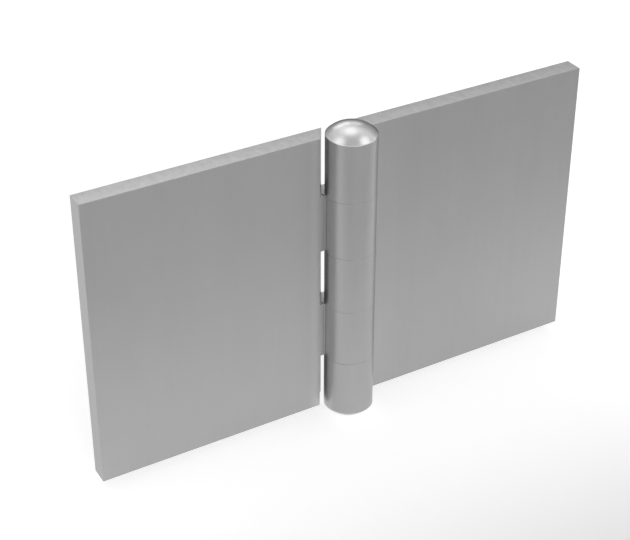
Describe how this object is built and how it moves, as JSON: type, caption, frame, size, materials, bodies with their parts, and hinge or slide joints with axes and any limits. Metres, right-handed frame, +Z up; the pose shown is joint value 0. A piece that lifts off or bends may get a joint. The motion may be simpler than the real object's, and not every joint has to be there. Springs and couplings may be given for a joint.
{
  "type": "weld-on hinge",
  "caption": "Solid weld-on hinge: two flat leaves with machined knuckles turn on a pin riveted with domed heads.",
  "frame": {"origin": "on the pin axis, halfway up the hinge", "axes": "+X along the fixed leaf away from the pin, +Y out of the leaves' back faces, +Z up the pin"},
  "size_m": [0.14, 0.013, 0.086],
  "materials": {
    "leaf_steel": "bright drawn steel with a fine satin grain, uncoated for welding",
    "pin_steel": "turned steel, heads polished by the rivet set"
  },
  "bodies": {
    "fixed": {"fixed_leaf": "leaf_steel", "hinge_pin": "pin_steel"},
    "swing": {"swing_leaf": "leaf_steel"}
  },
  "joints": [
    {"name": "leaf_swing", "type": "hinge", "parent": "fixed", "child": "swing", "pos_m": [0, 0, 0], "axis": [0, 0, 1], "range_deg": [-69, 180]}
  ]
}
